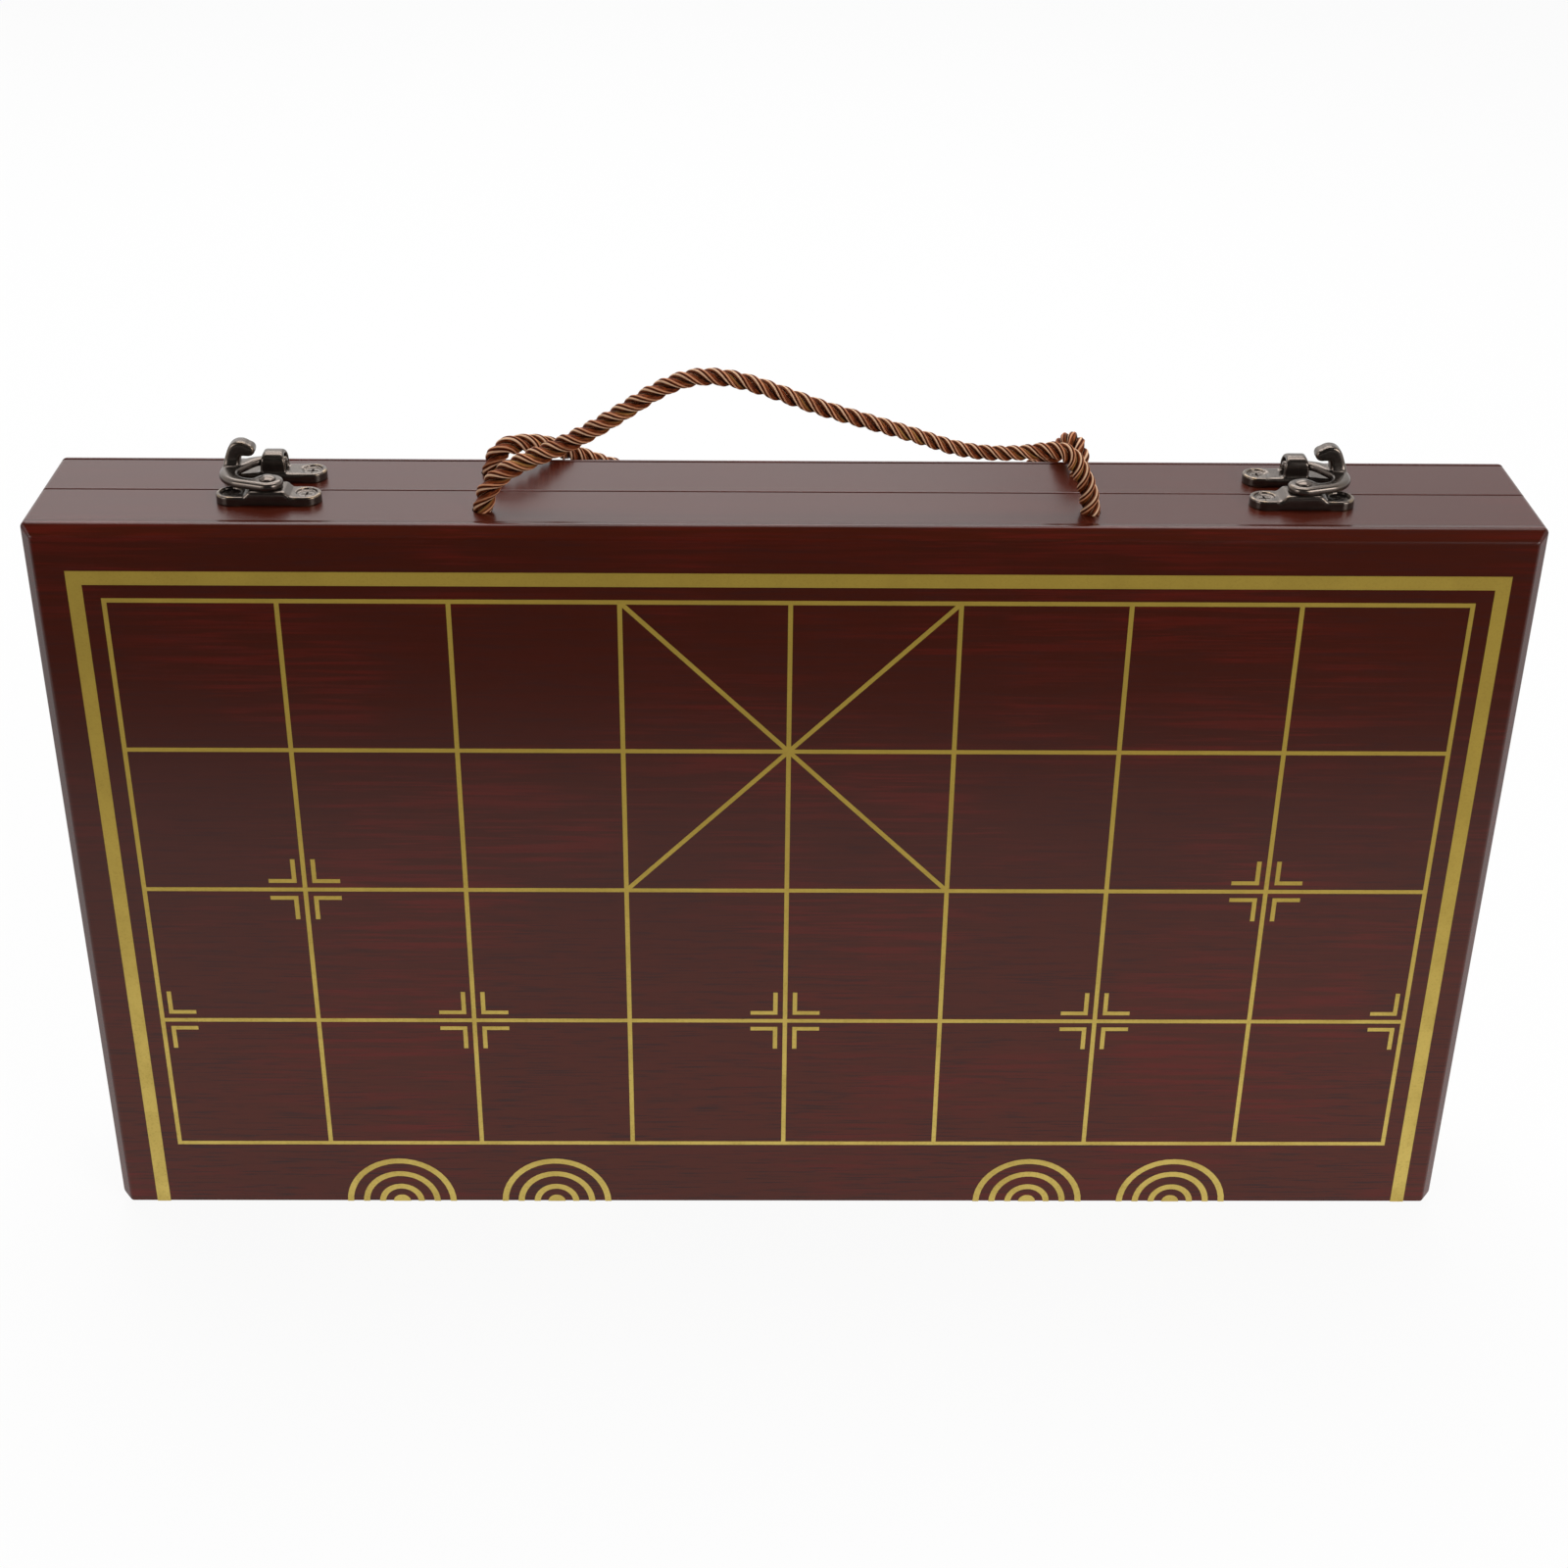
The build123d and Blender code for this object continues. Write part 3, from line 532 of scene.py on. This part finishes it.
def standProud(mesh, rounds, depth):
    # how far each point stands proud of its neighbourhood, below 0 in a hollow
    n = len(mesh.vertices)
    co = meshPoints(mesh)
    normals = np.array([v.normal for v in mesh.vertices])
    ends = np.zeros(len(mesh.edges) * 2, int)
    mesh.edges.foreach_get("vertices", ends)
    a, b = ends.reshape(-1, 2).T
    count = np.maximum(np.bincount(a, minlength=n) + np.bincount(b, minlength=n), 1)[:, None]
    even = co.copy()
    for _ in range(rounds):
        sums = [np.bincount(a, even[b, i], n) + np.bincount(b, even[a, i], n) for i in range(3)]
        even = np.stack(sums, 1) / count
    addNumbers(mesh, "proud", ((co - even) * normals).sum(1) / depth)


def narrowHood(mesh, hood):
    # the hood draws in towards its crown
    co = meshPoints(mesh)
    middle = math.copysign(hood["middle"], co[:, 0].mean())
    rise = np.clip((co[:, 2] - latchEdge - hood["from"]) / (hood["to"] - hood["from"]), 0, 1)
    co[:, 0] = middle + (co[:, 0] - middle) * (1 - hood["narrow"] * (1 - np.sqrt(1 - rise ** 2)))
    mesh.vertices.foreach_set("co", co.ravel())


def keepSeats(obj, middle, seats):
    # the seats round the screws stay crisp, so they get little of the softening
    out = np.abs(np.abs(meshPoints(obj.data)[:, 0]) - middle)
    shares = np.interp(out, (seats["from"], seats["to"]), (1.0, seats["crisp"]))
    levels = np.round(shares * seats["levels"]).astype(int)
    softly = obj.vertex_groups.new(name="softly")
    for level in np.unique(levels):
        softly.add(np.flatnonzero(levels == level).tolist(), level / seats["levels"], "REPLACE")
    return softly.name


def castCopy(name, node, v, part):
    obj = addObject(name, nodes[node].data.copy())
    obj.data.materials.clear()
    weld = obj.modifiers.new("weld", "WELD")
    weld.merge_threshold = v["weld"]
    cast = obj.modifiers.new("cast", "REMESH")
    cast.mode = "VOXEL"
    cast.voxel_size = part["grain"]
    settle(obj)
    if "hood" in part["shape"]:
        narrowHood(obj.data, v["hood"])
    soft = obj.modifiers.new("soft", "SMOOTH")
    soft.factor, soft.iterations = v["soften"], part["rounds"]
    if "seats" in part["shape"]:
        soft.vertex_group = keepSeats(obj, v["middle"], v["seats"])
    grow = obj.modifiers.new("grow", "DISPLACE")
    grow.mid_level, grow.strength = 0, part["grow"]
    settle(obj)
    standProud(obj.data, *part["wear"])
    obj.data.shade_smooth()
    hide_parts(node)
    return obj


def bronzeFinish(name, v):
    f = Finish(name)
    clouds = f.noise(f.place(v["clouds"]), detail=3.0)
    grit = f.noise(f.place(v["grit"]), detail=2.0)
    proud = f.named("proud")
    # proud edges: partly rubbed wear, partly a painted highlight where the edges would catch the lamps
    rubAndHighlight = f.fade(proud, 0.6, 2.2) * f.fade(clouds, 0.44, 0.66)
    # painted shade: the hollows are darkened towards near black, where the arm and plates would shade them
    colour = f.mix(f.fade(proud, -1.9, -0.4, 0.85, 0.0), v["dark"], v["hollowShade"])
    colour = f.mix(rubAndHighlight * 0.5, colour, v["rubbedAndHighlight"])
    return f.surface(base_color=colour, metallic=v["metal"],
                     roughness=f.fade(clouds, 0.3, 0.7, *v["rough"]),
                     normal=f.bump(grit, *v["relief"]))


bronzes = {"aged_bronze": bronzeFinish("agedBronze", latchCast),
           "dark_screws": bronzeFinish("screwBronze", latchScrews)}
for side in ("left", "right"):
    for name, part in latchParts.items():
        words = "".join(word.title() for word in name.split("_"))
        piece = castCopy(side + words, f"{side}_{name}", latchCast, part)
        piece.data.materials.append(bronzes[part["slot"]])
        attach(piece, f"{side}_{part['body']}" if part["body"] == "latch_arm" else part["body"])
        print(" ", piece.name, len(piece.data.vertices), "points")
print("latches cast")


# butt hinges on the spine
hingeBrass = {
    "brass": (0.42, 0.29, 0.11), "tarnish": (0.15, 0.095, 0.04), "brushed": (60, 2200, 2200),
    "stains": (260, 260, 260), "rough": (0.30, 0.46), "relief": (0.15, 0.00003),
    "parts": ("hinge_front_leaf", "hinge_rear_leaf", "hinge_pin", "hinge_front_screws", "hinge_rear_screws"),
}


def brassFinish(v):
    f = Finish("hingeBrass")
    brushed = f.noise(f.place(v["brushed"]), detail=2.0)
    stains = f.noise(f.place(v["stains"]), detail=3.0)
    colour = f.mix(f.fade(stains, 0.42, 0.68), v["brass"], v["tarnish"])
    return f.surface(base_color=colour, metallic=1.0,
                     roughness=f.fade(brushed, 0.3, 0.7, *v["rough"]),
                     normal=f.bump(brushed, *v["relief"]))


brass = brassFinish(hingeBrass)
for side in ("left", "right"):
    for part in hingeBrass["parts"]:
        dress(nodes[f"{side}_{part}"], brass)
print("hinges finished")


# studio: pale floor, two soft boxes behind, one above and one at each side
studio = {
    "floor": (0.62, 0.61, 0.60), "floorSize": 8.0, "floorWhite": 0.93, "world": 0.15,
    "lamps": {
        "backBox": {"place": (-0.64, 1.60, 1.05), "size": (2.0, 1.1), "aim": (0, 0, 0.2), "bright": 0.46},
        "highBox": {"place": (-0.10, 1.30, 1.38), "size": (1.4, 0.4), "aim": (0, 0, 0.2), "bright": 5.0},
        "overBox": {"place": (0, 0.45, 1.70), "size": (1.4, 0.7), "aim": (0, 0, 0.1), "bright": 4.9},
        "leftBox": {"place": (-1.5, -1.2, 0.8), "size": (1.0, 0.8), "aim": (0, 0, 0.12), "bright": 3.2},
        "rightBox": {"place": (1.0, -1.0, 0.7), "size": (0.7, 0.6), "aim": (0, 0, 0.12), "bright": 7.5},
    },
    # dark cards that only reflections and soft bounces meet: width, then y and z of two edges
    "cards": {"floorCard": (1.6, -0.31, 0.002, -0.95, 0.002), "overCard": (2.8, -0.10, 1.25, -1.10, 1.25),
              "nearCard": (1.8, -1.15, 0.0, -1.15, 1.25)},
    "cardShade": (0.02, 0.02, 0.02),
}


def softBox(name, v):
    light = bpy.data.lights.new(name, "AREA")
    light.shape = "RECTANGLE"
    light.size, light.size_y = v["size"]
    light.energy = v["bright"] * math.pi * v["size"][0] * v["size"][1]
    obj = addObject(name, light)
    obj.location = v["place"]
    way = Vector(v["aim"]) - Vector(v["place"])
    obj.rotation_euler = way.to_track_quat("-Z", "Y").to_euler()
    obj.visible_camera = False


def seenAsWhite(f):
    # 1 where the camera or a reflection looks, 0 for light that spreads
    camera, glossy, through = [f.node("ShaderNodeLightPath", {}, {}, f"Is {kind} Ray")
                               for kind in ("Camera", "Glossy", "Transmission")]
    return camera + glossy + through


def makeStudio(v):
    half = v["floorSize"] / 2
    floor = meshObject("floor", [(-half, -half, 0), (half, -half, 0), (half, half, 0), (-half, half, 0)],
                       [(0, 1, 2, 3)])
    f = Finish("floorPaper")
    seen = seenAsWhite(f)
    paper = f.node("ShaderNodeBsdfDiffuse", {}, {"Color": (*v["floor"], 1)})
    whitePaper = f.node("ShaderNodeBsdfDiffuse", {}, {"Color": (1, 1, 1, 1)})
    white = f.node("ShaderNodeEmission", {}, {"Color": (1, 1, 1, 1), "Strength": 1.0})
    shaded = f.node("ShaderNodeMixShader", {}, {0: seen, 1: paper, 2: whitePaper})
    both = f.node("ShaderNodeMixShader", {}, {0: seen * v["floorWhite"], 1: shaded, 2: white})
    f.close(both, "ShaderNodeOutputMaterial")
    floor.data.materials.append(f.material)
    dark = Finish("cardCloth").surface(base_color=(*v["cardShade"], 1), roughness=1.0)
    for name, (width, y1, z1, y2, z2) in v["cards"].items():
        w = width / 2
        card = meshObject(name, [(-w, y2, z2), (w, y2, z2), (w, y1, z1), (-w, y1, z1)], [(0, 1, 2, 3)])
        card.data.materials.append(dark)
        card.visible_camera = card.visible_shadow = False
    for name, lamp in v["lamps"].items():
        softBox(name, lamp)
    world = bpy.data.worlds.new("studio")
    world.use_nodes = True
    f = Finish("skyPaper", world.node_tree)
    seen = seenAsWhite(f)
    soft = f.node("ShaderNodeBackground", {}, {"Color": (1, 1, 1, 1), "Strength": v["world"]})
    plain = f.node("ShaderNodeBackground", {}, {"Color": (1, 1, 1, 1), "Strength": 1.0})
    f.close(f.node("ShaderNodeMixShader", {}, {0: seen, 1: soft, 2: plain}), "ShaderNodeOutputWorld")
    bpy.context.scene.world = world
    bpy.context.scene.view_settings.view_transform = "Standard"


makeStudio(studio)
print("studio lit")
